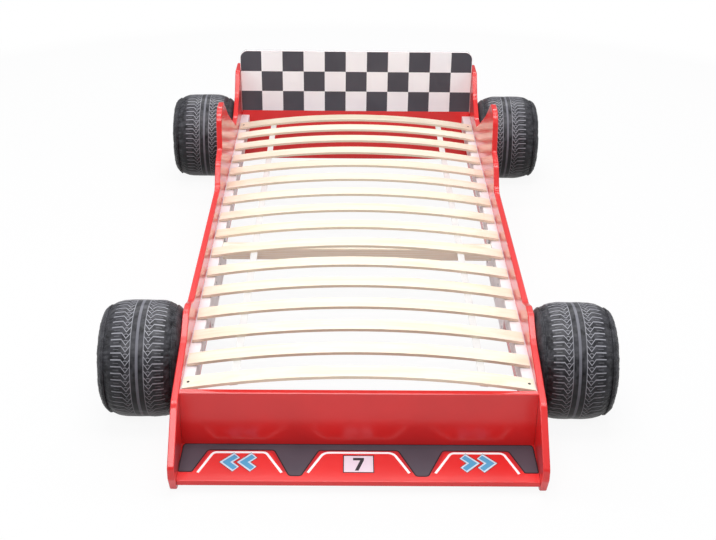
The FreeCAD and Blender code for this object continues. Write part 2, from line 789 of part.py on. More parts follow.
def make_wheel_plate(side, end):
    """The plywood plate in a tyre's inner side, which takes the wheel bolts."""
    outward = SIDES[side] > 0
    body = new_body("wheel_plate_%s_%s" % (end, side), x=(inner_half + thickness) * SIDES[side])
    half = size("wheel_plate_half")
    middle = wheel_places[end]
    sketch = new_sketch(body, "YZ_Plane", "outline")
    draw_box(sketch, middle - half, wheel_height - half, middle + half, wheel_height + half)
    pad(body, sketch, size("wheel_plate_thickness"), backwards=not outward)
    sketch = new_sketch(body, "YZ_Plane", "bolts")
    draw_circles(sketch, wheel_bolt_places(end), size("wheel_bolt_radius") + size("hole_play"))
    pocket(body, sketch, size("wheel_plate_thickness"), along_normal=outward)
    return body


def make_wheel_bolts():
    """Bolts from inside the bed through the side panels into the wheel plates."""
    body = new_body("wheel_bolts")
    body.AllowCompound = True
    places = wheel_bolt_places("front") + wheel_bolt_places("rear")
    sketch = new_sketch(body, "YZ_Plane", "shanks", offset=inner_half)
    draw_circles(sketch, places, size("wheel_bolt_radius"))
    shanks = pad(body, sketch, thickness + size("wheel_plate_thickness") - seat_gap)
    sketch = new_sketch(body, "YZ_Plane", "heads", offset=inner_half)
    for place in places:
        draw_hexagon(sketch, place, size("wheel_bolt_head"))
    heads = pad(body, sketch, size("wheel_bolt_head_depth"), backwards=True)
    mirror(body, [shanks, heads])
    return body


for side in SIDES:
    for half in ("front", "rear"):
        make_side_panel(side, half)
        make_ledger(side, half)
    make_joint_plate(side)
    make_strap(side)
    for end in ("front", "rear"):
        make_tyre(side, end)
        make_wheel_plate(side, end)
make_front_panel()
make_nose_board()
make_nose_cleats()
make_headboard()
make_crossbar()
make_crossbar_brackets()
make_corner_brackets()
for number in range(1, SLAT_COUNT + 1):
    make_slat(number)
make_wheel_bolts()
doc.recompute()

# Nothing is written unless every object is sound.
for item in doc.Objects:
    if "Invalid" in item.State or "Error" in item.State:
        raise RuntimeError("%s is in state %s" % (item.Name, item.State))
for body in nodes:
    if body.Shape.isNull() or not body.Shape.isValid() or not body.Shape.Solids:
        raise RuntimeError(body.Label + " has no sound shape")

os.makedirs("parts", exist_ok=True)
for body in nodes:
    body.Shape.exportStep("parts/%s.step" % body.Label)
print(len(nodes), "sub-parts written")
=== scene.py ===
"""A child's race-car bed: lacquered panels, slats on webbing, printed boards, stuffed tyres."""
import math

import bmesh
import bpy
import numpy as np
from mathutils import Matrix, Vector, geometry, noise


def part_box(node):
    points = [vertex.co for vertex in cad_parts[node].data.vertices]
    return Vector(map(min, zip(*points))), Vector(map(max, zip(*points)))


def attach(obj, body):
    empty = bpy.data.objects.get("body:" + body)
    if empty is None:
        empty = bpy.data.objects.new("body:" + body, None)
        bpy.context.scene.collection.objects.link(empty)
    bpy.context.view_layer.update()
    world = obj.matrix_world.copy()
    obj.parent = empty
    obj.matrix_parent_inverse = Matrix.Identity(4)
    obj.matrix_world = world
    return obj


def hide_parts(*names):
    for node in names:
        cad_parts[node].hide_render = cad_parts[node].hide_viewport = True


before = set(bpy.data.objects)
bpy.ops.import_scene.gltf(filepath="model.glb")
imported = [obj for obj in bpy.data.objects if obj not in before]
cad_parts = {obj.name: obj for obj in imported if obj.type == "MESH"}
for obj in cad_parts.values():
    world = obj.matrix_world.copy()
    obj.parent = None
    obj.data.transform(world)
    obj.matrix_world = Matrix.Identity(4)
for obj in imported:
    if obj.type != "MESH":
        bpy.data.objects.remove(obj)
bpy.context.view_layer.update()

MM = 0.001

# ---------------------------------------------------------------- shader graphs


class Wire:
    """A value in a finish's shader graph. Arithmetic on it adds Math nodes."""

    def __init__(self, finish, socket):
        self.finish, self.socket = finish, socket

    def math(self, operation, *values):
        return self.finish.node("Math", {"operation": operation}, [self, *values])

    def turned(self, operation, value):
        """The same, with the other value first."""
        return self.finish.node("Math", {"operation": operation}, [value, self])

    def __add__(self, value):
        return self.math("ADD", value)

    def __sub__(self, value):
        return self.math("SUBTRACT", value)

    def __mul__(self, value):
        return self.math("MULTIPLY", value)

    def __truediv__(self, value):
        return self.math("DIVIDE", value)

    def __lt__(self, value):
        return self.math("LESS_THAN", value)

    def __gt__(self, value):
        return self.math("GREATER_THAN", value)

    def __rsub__(self, value):
        return self.turned("SUBTRACT", value)

    __radd__ = __add__

    def limit(self, low=0.0, high=1.0):
        return self.math("MAXIMUM", low).math("MINIMUM", high)

    def step(self, start, end):
        """0 below start, 1 above end, and smooth between."""
        return self.finish.node(
            "MapRange", {"interpolation_type": "SMOOTHSTEP"},
            {"Value": self, "From Min": start, "From Max": end, "To Min": 0.0, "To Max": 1.0})

    def line(self, middle, half, soft):
        """1 within half of the middle, falling to 0 over soft."""
        return 1.0 - (self - middle).math("ABSOLUTE").step(half - soft / 2, half + soft / 2)

    def parts(self):
        """A vector's x, y and z."""
        split = self.finish.node("SeparateXYZ", {}, [self]).socket.node
        return [Wire(self.finish, out) for out in split.outputs]

    def times(self, x, y, z):
        return self.finish.node("VectorMath", {"operation": "MULTIPLY"}, [self, (x, y, z)])


MIX_SHARE, MIX_FIRST, MIX_SECOND = 0, 6, 7   # a Mix node's inputs, when it mixes colours
MIX_RESULT = 2                               # and its output


class Finish:
    """A material and the shader nodes that it is made from."""

    def __init__(self, name):
        self.material = bpy.data.materials.new(name)
        self.material.use_nodes = True
        self.material.node_tree.nodes.clear()

    def node(self, kind, settings=None, values=(), output=0):
        """Adds a node, sets or links its inputs, and gives one of its outputs."""
        tree = self.material.node_tree
        node = tree.nodes.new("ShaderNode" + kind)
        for name, value in (settings or {}).items():
            setattr(node, name, value)
        for key, value in values.items() if isinstance(values, dict) else enumerate(values):
            if isinstance(value, Wire):
                tree.links.new(value.socket, node.inputs[key])
            else:
                node.inputs[key].default_value = value
        return Wire(self, node.outputs[output])

    def place(self):
        """The point in the object's own metres."""
        return self.node("TexCoord", output="Object")

    def facing(self):
        """The surface's direction in the object's own axes."""
        return self.node("TexCoord", output="Normal")

    def join(self, x, y, z):
        return self.node("CombineXYZ", {}, [x, y, z])

    def mottle(self, vector, scale=1.0, detail=2.0, roughness=0.5, distortion=0.0):
        """Soft noise from 0 to 1."""
        return self.node("TexNoise", {}, {"Vector": vector, "Scale": scale, "Detail": detail,
                                          "Roughness": roughness, "Distortion": distortion})

    def cells(self, vector, scale=1.0):
        """How far each point lies from the nearest of a scatter of points."""
        return self.node("TexVoronoi", {}, {"Vector": vector, "Scale": scale})

    def ramp(self, value, stops):
        """A colour at each stop, and blends between."""
        wire = self.node("ValToRGB", {}, [value])
        elements = wire.socket.node.color_ramp.elements
        while len(elements) < len(stops):
            elements.new(1.0)
        for element, (position, colour) in zip(elements, stops):
            element.position = position
            element.color = colour
        return wire

    def blend(self, share, first, second):
        """The first colour where the share is 0, the second where it is 1."""
        inputs = {MIX_SHARE: share, MIX_FIRST: first, MIX_SECOND: second}
        return self.node("Mix", {"data_type": "RGBA"}, inputs, output=MIX_RESULT)

    def relief(self, height, depth, under=None):
        """The surface's direction once a height from 0 to 1 stands depth metres proud."""
        values = {"Height": height, "Distance": depth, "Strength": 1.0}
        if under is not None:
            values["Normal"] = under
        return self.node("Bump", {}, values)

    def rounded(self, radius):
        """The surface's direction with its edges rounded off."""
        return self.node("Bevel", {"samples": 6}, {"Radius": radius})

    def finish(self, colour, roughness, normal=None, **fixed):
        """The material, once its shader has these inputs."""
        values = {"Base Color": colour, "Roughness": roughness}
        if normal is not None:
            values["Normal"] = normal
        values.update({name.replace("_", " "): value for name, value in fixed.items()})
        return self.shown_as(self.node("BsdfPrincipled", {}, values))

    def shown_as(self, shader):
        tree = self.material.node_tree
        out = tree.nodes.new("ShaderNodeOutputMaterial")
        tree.links.new(shader.socket, out.inputs["Surface"])
        return self.material


def paint(red, green, blue):
    """A colour as a screen shows it, 0 to 255, as the shader wants it."""
    def linear(level):
        level /= 255
        return level / 12.92 if level <= 0.04045 else ((level + 0.055) / 1.055) ** 2.4
    return (linear(red), linear(green), linear(blue), 1.0)


# ---------------------------------------------------------------- finishes


def red_lacquer(name="red_lacquer", pale_from=None):
    """Satin lacquer on fibreboard: even red, faint orange peel, edges a little paler from rubbed
    wear and a painted highlight.

    A board that stands across the bed can have pale edges from one height up, in metres.
    """
    f = Finish(name)
    place = f.place()
    cloud = f.mottle(place, 5.0, 3.0)
    peel = f.mottle(place, 420.0, 2.0)
    speck = f.mottle(place, 1400.0, 1.0)
    soft = f.rounded(2.2 * MM)
    true = f.node("NewGeometry", output="True Normal")
    bent = 1.0 - f.node("VectorMath", {"operation": "DOT_PRODUCT"}, [soft, true], output="Value")
    # edges a little paler red: partly rubbed wear, partly a painted highlight
    worn_and_highlit = (bent * 3.0).limit() * f.mottle(place, 60.0, 4.0).step(0.35, 0.75)
    red = paint(226, 39, 39)
    deep = tuple(channel * 0.93 for channel in red[:3]) + (1.0,)
    base = f.blend(cloud.step(0.35, 0.65), deep, red)
    base = f.blend(worn_and_highlit * 0.35, base, paint(242, 96, 90))
    if pale_from is not None:
        edge = 1.0 - f.facing().parts()[1].math("ABSOLUTE").step(0.90, 0.97)
        above = place.parts()[2].step(pale_from, pale_from + 10 * MM)
        base = f.blend(edge * above, base, paint(238, 236, 237))
    rough = 0.36 + cloud * 0.06 + speck * 0.03
    normal = f.relief(peel, 0.05 * MM, under=soft)
    return f.finish(base, rough, normal,
                    Specular_IOR_Level=0.1, Coat_Weight=1.0, Coat_Roughness=0.19)


def white_foil():
    """White foil on chipboard: fine grain in the foil, scuffed a little."""
    f = Finish("white_foil")
    place = f.place()
    scuff = f.mottle(place.times(14.0, 3.0, 40.0), 1.0, 4.0)
    fine = f.mottle(place, 900.0, 2.0)
    base = f.blend(scuff.step(0.4, 0.8), paint(236, 232, 234), paint(222, 217, 221))
    return f.finish(base, 0.42 + scuff * 0.12, f.relief(fine, 0.04 * MM, under=f.rounded(0.8 * MM)))


ARCH_RADIUS = 2.6214         # of the slats' undersides
ARCH_MIDDLE = -2.3822        # height of the middle of that arch
PLY = 1.6 * MM               # one of a slat's plies


def birch():
    """Bent birch plies: long grain on the faces, glue lines on the sides, which are painted a
    little darker as shade, a tone for each slat.
    """
    f = Finish("birch")
    place = f.place()
    own = f.node("ObjectInfo", output="Random")
    x, y, z = place.parts()
    shifted = f.join(x + own * 9.0, y + own * 3.0, z)
    figure = f.mottle(shifted.times(1.6, 30.0, 30.0), 1.0, 3.0, 0.5, 1.2)
    fibre = f.mottle(shifted.times(9.0, 620.0, 620.0), 1.0, 3.0, 0.6)
    pores = f.mottle(shifted.times(30.0, 1500.0, 1500.0), 1.0, 1.0)
    base = f.ramp(figure, [(0.28, paint(230, 215, 188)), (0.45, paint(237, 225, 204)),
                           (0.62, paint(242, 232, 216)), (0.80, paint(237, 226, 206))])
    base = f.blend(fibre.step(0.45, 0.75) * 0.30, base, paint(232, 212, 180))
    base = f.blend(pores.step(0.62, 0.72) * 0.25, base, paint(206, 176, 134))
    base = f.blend(own.step(0.1, 0.9) * 0.25, base, paint(244, 228, 200))
    radial = (x * x + (z - ARCH_MIDDLE) * (z - ARCH_MIDDLE)).math("SQRT") - ARCH_RADIUS
    glue = (radial / PLY).math("FRACT").line(0.5, 0.06, 0.05)
    cross = (radial / (2 * PLY)).math("FRACT") > 0.5
    # the sides take the plies' colours and glue lines, painted a little darker than the faces as
    # shade
    up = f.facing().parts()[2].math("ABSOLUTE")
    side = 1.0 - up.step(0.35, 0.75)
    edge = f.blend(cross * 0.5, paint(234, 222, 200), paint(216, 200, 174))
    edge = f.blend(glue * 0.6, edge, paint(172, 152, 124))
    edge = f.blend(fibre.step(0.4, 0.7) * 0.3, edge, paint(202, 184, 156))
    base = f.blend(side * 0.85, base, edge)
    normal = f.relief(fibre, 0.06 * MM, under=f.rounded(1.0 * MM))
    return f.finish(base, 0.44 + fibre * 0.14, normal)


def pine():
    """Planed pine with growth rings and a few knots."""
    f = Finish("pine")
    place = f.place()
    warp = f.mottle(place.times(2.0, 14.0, 14.0), 1.0, 2.0)
    rings = f.node("TexWave", {"wave_type": "RINGS", "rings_direction": "X"},
                   {"Vector": place.times(0.12, 1.0, 1.0), "Scale": 60.0, "Distortion": 3.0,
                    "Detail": 2.0, "Detail Scale": 1.2})
    knots = f.cells(place.times(2.2, 9.0, 9.0)).step(0.16, 0.05)
    fibre = f.mottle(place.times(8.0, 500.0, 500.0), 1.0, 3.0)
    base = f.ramp(rings, [(0.0, paint(252, 247, 236)), (0.6, paint(250, 243, 228)),
                          (1.0, paint(242, 229, 206))])
    base = f.blend(warp.step(0.4, 0.7) * 0.4, base, paint(249, 240, 222))
    base = f.blend(knots * 0.6, base, paint(182, 142, 100))
    normal = f.relief(fibre, 0.08 * MM, under=f.rounded(1.5 * MM))
    return f.finish(base, 0.5 + fibre * 0.12, normal)


def plywood():
    """Raw plywood: veneer on the faces, cross plies on the edges."""
    f = Finish("plywood")
    place = f.place()
    fibre = f.mottle(place.times(300.0, 12.0, 300.0), 1.0, 4.0)
    x, _, _ = place.parts()
    ply = (x / (1.5 * MM)).math("PINGPONG", 1.0) > 0.5
    along = f.facing().parts()[0].math("ABSOLUTE").step(0.4, 0.7)
    edge = f.blend(ply * 0.7, paint(206, 168, 118), paint(152, 112, 72))
    face = f.blend(fibre.step(0.35, 0.7), paint(214, 180, 132), paint(188, 148, 100))
    return f.finish(f.blend(along, edge, face), 0.62 + fibre * 0.1, f.relief(fibre, 0.15 * MM))


def zinc_steel():
    """Bright zinc on pressed steel, with its faint crystal bloom."""
    f = Finish("zinc_steel")
    place = f.place()
    bloom = f.cells(place, 260.0)
    brush = f.mottle(place.times(60.0, 60.0, 1400.0), 1.0, 2.0)
    base = f.blend(bloom.step(0.2, 0.8), paint(196, 197, 200), paint(170, 172, 178))
    normal = f.relief(brush, 0.02 * MM, under=f.rounded(0.4 * MM))
    return f.finish(base, 0.26 + brush * 0.16, normal, Metallic=1.0)


def dark_screw():
    """Black-coated steel, worn to bare metal here and there."""
    f = Finish("dark_screw")
    rub = f.mottle(f.place(), 700.0, 3.0)
    base = f.blend(rub.step(0.5, 0.75), paint(38, 34, 33), paint(92, 86, 82))
    return f.finish(base, 0.36 + rub * 0.2, Metallic=0.8)


def webbing():
    """Flat woven polyester: raised ribs along the band, picks across it, with the weave's low parts
    painted darker as shade.
    """
    f = Finish("webbing")
    x, y, _ = f.place().parts()
    ribs = (x / (1.5 * MM)).math("PINGPONG", 1.0)
    picks = (y / (1.1 * MM)).math("PINGPONG", 1.0)
    weave = ribs * 0.6 + picks * 0.4
    fuzz = f.mottle(f.place(), 1200.0, 2.0)
    # darker where the weave lies low: painted shade in its hollows
    base = f.blend(weave, paint(196, 194, 192), paint(236, 235, 233))
    return f.finish(f.blend(fuzz * 0.25, base, paint(214, 212, 210)), 0.78 + fuzz * 0.12,
                    f.relief(weave, 0.3 * MM), Sheen_Weight=0.25)


def print_ink(name, tone, shade):
    """A colour of the printed film: very slightly uneven, with the film's own satin."""
    f = Finish(name)
    place = f.place()
    cloud = f.mottle(place, 9.0, 3.0)
    peel = f.mottle(place, 500.0, 2.0)
    base = f.blend(cloud.step(0.3, 0.7), paint(*tone), paint(*shade))
    return f.finish(base, 0.42 + cloud * 0.06, f.relief(peel, 0.03 * MM), Specular_IOR_Level=0.3)


PITCHES = 55                          # tread blocks round a tyre
STITCH_ROWS = (79.0, 89.0, 139.0)     # on a tyre's sides: millimetres from its axle


def tyre_cover():
    """Coated black cover with a printed tread, soft scuffs and pulled creases by the seams, painted
    paler on its upward faces as painted light.
    """
    f = Finish("tyre_cover")
    place = f.place()
    x, y, z = place.parts()
    across = x.math("ABSOLUTE") / MM   # millimetres off the tread's middle
    turns = z.math("ARCTAN2", y) * (PITCHES / (2 * math.pi))
    run = turns + (x > 0.0) * 0.45 + 100.0   # pitches round the tyre, always above 0

    def bars(shift, half, start, end):
        """Lines across the tread, one a pitch, from start to end off its middle."""
        off = ((run + shift).math("FRACT") - 0.5).math("ABSOLUTE")
        band = across.step(start - 0.8, start + 0.8) * (1.0 - across.step(end - 0.8, end + 0.8))
        return (1.0 - off.step(half - 0.025, half + 0.025)) * band

    weave = f.mottle(place, 1500.0, 2.0)
    smear = f.mottle(place, 18.0, 4.0)
    dents = f.mottle(place, 55.0, 3.0)
    bent = ((across - 18.0) / 23.0).limit().math("PINGPONG", 0.5)
    arrows = bars(0.5 - bent * 1.7, 0.085, 18.0, 41.0)
    hooks = bars(0.12 + bent * 0.5, 0.07, 24.0, 35.0) * 0.6
    lugs = bars(0.5, 0.085, 41.0, 69.0)
    kerfs = bars(0.0, 0.05, 47.0, 62.0) * 0.35
    lines = across.line(17.6, 1.0, 1.0) * 0.8
    for pattern in (arrows, hooks, lugs, kerfs):
        lines = lines.math("MAXIMUM", pattern)
    # facing up: the print, its centre line and a mottled sheen are painted paler there as painted
    # light
    above = f.facing().parts()[2].step(-0.5, 0.95)
    shade = f.blend(smear.step(0.35, 0.7), paint(8, 8, 10), paint(18, 18, 21))
    for groove in (across.line(8.0, 9.0, 1.5), across.line(43.0, 26.0, 2.0)):
        shade = f.blend(groove * 0.5, shade, paint(9, 9, 11))
    # the print fades at random, and is painted brighter on the upward faces as painted light
    worn_and_highlit = (0.12 + smear * 0.32 + above * 0.74).limit()
    base = f.blend(lines * worn_and_highlit, shade, paint(172, 172, 180))
    base = f.blend(across.line(0.0, 3.6, 1.6) * (0.34 + above * 0.52), base, paint(128, 128, 137))
    # a mottled painted sheen on the upward faces
    painted_top_sheen = above * dents.step(0.1, 0.85) * 0.5
    base = f.blend(painted_top_sheen, base, paint(116, 116, 123))
    ring = (y * y + z * z).math("SQRT") / MM
    rows = [ring.line(radius, 0.6, 0.5) for radius in STITCH_ROWS]
    stitched = (rows[0] + rows[1] + rows[2]) * across.step(94.0, 98.0)
    stitches = stitched * ((run * 5.0).math("FRACT") < 0.62)
    base = f.blend(stitches * 0.7, base, paint(96, 96, 102))
    rough = 0.24 + smear * 0.16 + weave * 0.05
    height = weave * 0.15 + smear * 0.45 + dents * 0.4 + stitches * 0.8
    pleats = f.mottle(place.times(16.0, 240.0, 240.0), 1.0, 2.0) * across.step(56.0, 84.0)
    creased = f.relief(pleats, 2.4 * MM, under=f.relief(height, 0.6 * MM))
    return f.finish(base, rough, creased, Specular_IOR_Level=0.2)


FLOOR_GLOW = 0.92            # how much of the floor near the bed the camera sees as plain white
SHINE_GLOW = 0.5             # and how much of it the bed's gloss mirrors as plain white
FAR_START, FAR_END = 1.6, 3.2   # where the floor turns into a white backdrop, in metres
FLOOR_REACH = 14.0


def floor_finish():
    """Pale floor that the camera sees as near white, with the bed's soft shadow on it."""
    f = Finish("floor")
    seen = f.node("LightPath", output="Is Camera Ray")
    shiny = f.node("LightPath", output="Is Glossy Ray")
    through = f.node("LightPath", output="Is Transmission Ray")
    matt = f.node("BsdfDiffuse", {}, {"Color": (0.74, 0.74, 0.75, 1.0)})
    glow = f.node("Emission", {}, {"Color": (1.0, 1.0, 1.0, 1.0), "Strength": 1.0})
    off = f.node("VectorMath", {"operation": "LENGTH"}, [f.place()], output="Value")
    near = ((seen + through) * FLOOR_GLOW + shiny * SHINE_GLOW).limit()
    far = (seen + shiny + through).limit() * off.step(FAR_START, FAR_END)
    return f.shown_as(f.node("MixShader", {}, [near.math("MAXIMUM", far), matt, glow]))


# ---------------------------------------------------------------- mesh helpers


def add_piece(name, mesh, finishes, smooth=True):
    """Puts a mesh in the scene as a piece of the bed."""
    for finish in finishes:
        mesh.materials.append(finish)
    if smooth:
        mesh.polygons.foreach_set("use_smooth", [True] * len(mesh.polygons))
    piece = bpy.data.objects.new(name, mesh)
    bpy.context.scene.collection.objects.link(piece)
    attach(piece, "root")
    return piece


def finished(made, name):
    """The mesh that a bmesh holds."""
    mesh = bpy.data.meshes.new(name)
    made.to_mesh(mesh)
    made.free()
    return mesh


def big_faces(made):
    return [face for face in made.faces if len(face.verts) > 4]


def round_off(corners, radii, closed=True, steps=6):
    """Corners of a flat outline with arcs of the given radii."""
    count = len(corners)
    radii = radii if isinstance(radii, (list, tuple)) else [radii] * count
    points = []
    for number, (corner, radius) in enumerate(zip(corners, radii)):
        corner = Vector(corner)
        if radius == 0 or (not closed and number in (0, count - 1)):
            points.append(corner)
            continue
        back = (Vector(corners[number - 1]) - corner).normalized()
        ahead = (Vector(corners[(number + 1) % count]) - corner).normalized()
        angle = back.angle(ahead)
        reach = radius / math.tan(angle / 2)
        middle = corner + (back + ahead).normalized() * (radius / math.sin(angle / 2))
        start, end = corner + back * reach - middle, corner + ahead * reach - middle
        for step in range(steps + 1):
            spoke = (start * (1 - step / steps) + end * (step / steps)).normalized() * radius
            points.append(middle + spoke)
    return points


def stroke(line, width):
    """The outline of a stripe of one width along an open line."""
    left, right = [], []
    for number, point in enumerate(line):
        before = (point - line[number - 1]).normalized() if number else None
        after = (line[number + 1] - point).normalized() if number + 1 < len(line) else None
        along = ((before or after) + (after or before)).normalized()
        across = Vector((-along.y, along.x))
        cosine = along.dot(after or before)
        reach = width / 2 / max(cosine, 0.3)
        left.append(point + across * reach)
        right.append(point - across * reach)
    return left + right[::-1]


def signed_area(outline):
    """Above 0 where the outline runs counter-clockwise. Twice the area in size."""
    return sum(a.cross(b) for a, b in zip(outline, outline[1:] + outline[:1]))


def grown(outline, reach):
    """A closed outline moved outwards."""
    turn = math.copysign(reach, signed_area(outline))
    points = []
    for number, point in enumerate(outline):
        before = (point - outline[number - 1]).normalized()
        after = (outline[(number + 1) % len(outline)] - point).normalized()
        along = (before + after).normalized()
        points.append(point + Vector((along.y, -along.x)) * turn / max(along.dot(after), 0.5))
    return points


def mirrored(outline):
    return [Vector((-point[0], point[1])) for point in outline][::-1]


FILM = 0.2 * MM              # how thick a print lies on its board


def printed_film(name, layers, finishes, place, out):
    """A closed film of flat printed shapes: a later layer covers an earlier one."""
    points, outlines = [], []
    for _, outline in layers:
        outline = [Vector(point) for point in outline]
        outlines.append(list(range(len(points), len(points) + len(outline))))
        points.extend(outline if signed_area(outline) > 0 else outline[::-1])
    cut = geometry.delaunay_2d_cdt(points, [], outlines, 1, 1e-5, True)
    corners, _, faces, _, _, sources = cut
    flat = bmesh.new()
    vertices = [flat.verts.new(place(corner)) for corner in corners]
    for face, covers in zip(faces, sources):
        if covers:
            made = flat.faces.new([vertices[index] for index in face])
            made.material_index = layers[max(covers)][0]
    bmesh.ops.delete(flat, geom=[v for v in flat.verts if not v.link_faces], context="VERTS")
    bmesh.ops.dissolve_limit(flat, angle_limit=0.01, verts=flat.verts[:], edges=flat.edges[:],
                             delimit={"MATERIAL"})
    bmesh.ops.triangulate(flat, faces=flat.faces[:])
    raised = {vertex: flat.verts.new(vertex.co + out * FILM) for vertex in flat.verts[:]}
    sheets = [(face, [raised[vertex] for vertex in face.verts]) for face in flat.faces]
    for loop in [edge.link_loops[0] for edge in flat.edges if edge.is_boundary]:
        start, end = loop.vert, loop.link_loop_next.vert
        sheets.append((loop.face, [start, end, raised[end], raised[start]]))
    for source, corners in sheets:
        flat.faces.new(corners).material_index = source.material_index
    bmesh.ops.recalc_face_normals(flat, faces=flat.faces[:])
    return add_piece(name, finished(flat, name), finishes, smooth=False)


# ---------------------------------------------------------------- camera, lamps and floor

EYE = Vector((-0.034969, -3.584082, 1.911845))   # this and the next two lines fit the photograph
YAW, PITCH, ROLL = -0.0110467, 0.4805110, 0.0117247
LENS, SENSOR = 61.405, 36.0                      # millimetres

LAMPS = (   # name, place, what it points at, width, depth and watts
    ("key", (-0.5, -3.4, 3.6), (0.0, 0.2, 0.1), 2.4, 1.3, 67.0),
    ("front_top", (0.0, -1.0, 4.2), (0.0, -0.5, 0.1), 2.6, 1.1, 58.0),
    ("rear_top", (0.0, 1.1, 4.4), (0.0, 0.7, 0.1), 2.6, 1.4, 42.0),
    ("middle", (0.0, -0.4, 3.3), (0.0, 1.0, 0.35), 2.0, 0.8, 17.0),
    ("back", (0.0, 4.4, 4.4), (0.0, 0.2, 0.2), 4.8, 1.0, 104.0),
    ("left_fill", (-4.2, -0.6, 2.4), (0.0, 0.0, 0.2), 2.8, 2.0, 46.0),
    ("right_fill", (4.2, -0.6, 2.4), (0.0, 0.0, 0.2), 2.8, 2.0, 40.0))

# The sky's colour and strength: as it lights the bed, and as the camera sees it.
SKIES = (((0.95, 0.97, 1.0, 1.0), 0.26), ((1.0, 1.0, 1.0, 1.0), 1.0))


def make_camera():
    level = math.cos(PITCH)
    ahead = Vector((-math.sin(YAW) * level, math.cos(YAW) * level, -math.sin(PITCH)))
    right = Vector((math.cos(YAW), math.sin(YAW), 0.0))
    up = right.cross(ahead)
    turned_right = right * math.cos(ROLL) + up * math.sin(ROLL)
    turned_up = up * math.cos(ROLL) - right * math.sin(ROLL)
    data = bpy.data.cameras.new("camera")
    data.lens, data.sensor_width = LENS, SENSOR
    camera = bpy.data.objects.new("camera", data)
    axes = Matrix((turned_right, turned_up, -ahead)).transposed().to_4x4()
    camera.matrix_world = Matrix.Translation(EYE) @ axes
    bpy.context.scene.collection.objects.link(camera)
    bpy.context.scene.camera = camera


def make_lamp(name, spot, aim, width, depth, watts):
    data = bpy.data.lights.new(name, "AREA")
    data.shape, data.size, data.size_y = "RECTANGLE", width, depth
    data.energy = watts
    lamp = bpy.data.objects.new(name, data)
    lamp.location = spot
    lamp.rotation_mode = "QUATERNION"
    lamp.rotation_quaternion = (Vector(aim) - Vector(spot)).to_track_quat("-Z", "Y")
    bpy.context.scene.collection.objects.link(lamp)


def make_world():
    """A pale sky that lights the bed, white where the camera looks past the floor."""
    world = bpy.data.worlds.new("studio")
    world.use_nodes = True
    tree = world.node_tree
    tree.nodes.clear()
    rays = tree.nodes.new("ShaderNodeLightPath")
    most = tree.nodes.new("ShaderNodeMath")
    most.operation = "MAXIMUM"
    tree.links.new(rays.outputs["Is Camera Ray"], most.inputs[0])
    tree.links.new(rays.outputs["Is Transmission Ray"], most.inputs[1])
    mix = tree.nodes.new("ShaderNodeMixShader")
    tree.links.new(most.outputs[0], mix.inputs[0])
    for number, (colour, strength) in enumerate(SKIES, start=1):
        sky = tree.nodes.new("ShaderNodeBackground")
        sky.inputs["Color"].default_value = colour
        sky.inputs["Strength"].default_value = strength
        tree.links.new(sky.outputs[0], mix.inputs[number])
    out = tree.nodes.new("ShaderNodeOutputWorld")
    tree.links.new(mix.outputs[0], out.inputs[0])
    bpy.context.scene.world = world


def make_floor():
    """A square floor far wider than the picture."""
    grid = bmesh.new()
    bmesh.ops.create_grid(grid, x_segments=8, y_segments=8, size=FLOOR_REACH)
    mesh = finished(grid, "floor")
    mesh.materials.append(floor_finish())
    floor = bpy.data.objects.new("floor", mesh)
    bpy.context.scene.collection.objects.link(floor)


# ---------------------------------------------------------------- tyres

# Millimetres, except where a line says otherwise. "Out" is away from the side panel, and "part" is
# the part of the cover that a point belongs to.

AROUND = 288                 # points round a tyre
SEAM_IN, SEAM_OUT = 19.0, 200.0
SEAM_RADIUS = 143.5
CORD_HALF = 2.3              # half the width of the piping in a seam
CORD_ROOM = 3.6              # half of what the piping takes up of the section
HUB_OUT, HUB_RADIUS = 214.0, 84.0
TREAD_MIDDLE = (SEAM_IN + 194.0) / 2
CROWN_RADIUS = 159.4
TYRES = {"front": (0.99, 4.0), "rear": (1.045, 0.0)}   # how far stretched, and settled by how much
OFF_PANEL = 0.4              # the inner side's gap to the side panel
INNER_EDGE = 113.5           # where the inner side opens for the plywood plate
HOLLOW_HALF, HOLLOW_DEPTH = 80.6, 12.5   # of the square hollow for that plate
WHEEL_HEIGHT = 0.155         # metres, of the axles
FLOOR_GAP = 0.0003           # metres
SQUASH = 0.020               # metres of a tyre above the floor that spread under its weight
SPREAD = 0.04                # by this share

# How deep each fault of the stuffed cover goes, and how far from its seam it fades.
DENT_DEPTH = 1.1
FOLD_DEPTH, FOLD_REACH = 4.2, 20.0
TUCK_DEPTH, TUCK_REACH = 3.4, 13.0
FAN_DEPTH, FAN_REACH = 2.4, 24.0
SAG_DEPTH, SAG_REACH = 6.0, 9.0
CREASE_DEPTH, CREASE_REACH, CREASE_HUB_REACH = 2.2, 13.0, 12.0


def piping(out, radius, lean):
    """A sewn cord in a seam: the section's points over its bead, leaning out or in."""
    points = [(out - CORD_ROOM, radius - 0.6), (out - 2.6, radius - 2.4)]
    for step in range(9):
        angle = math.pi * (1.0 - step / 8)
        points.append((out + CORD_HALF * math.cos(angle) * 0.9 + lean * 0.4 * math.sin(angle),
                       radius - 0.8 + CORD_HALF * math.sin(angle)))
    points += [(out + 2.6, radius - 2.4), (out + CORD_ROOM, radius - 1.0)]
    return points


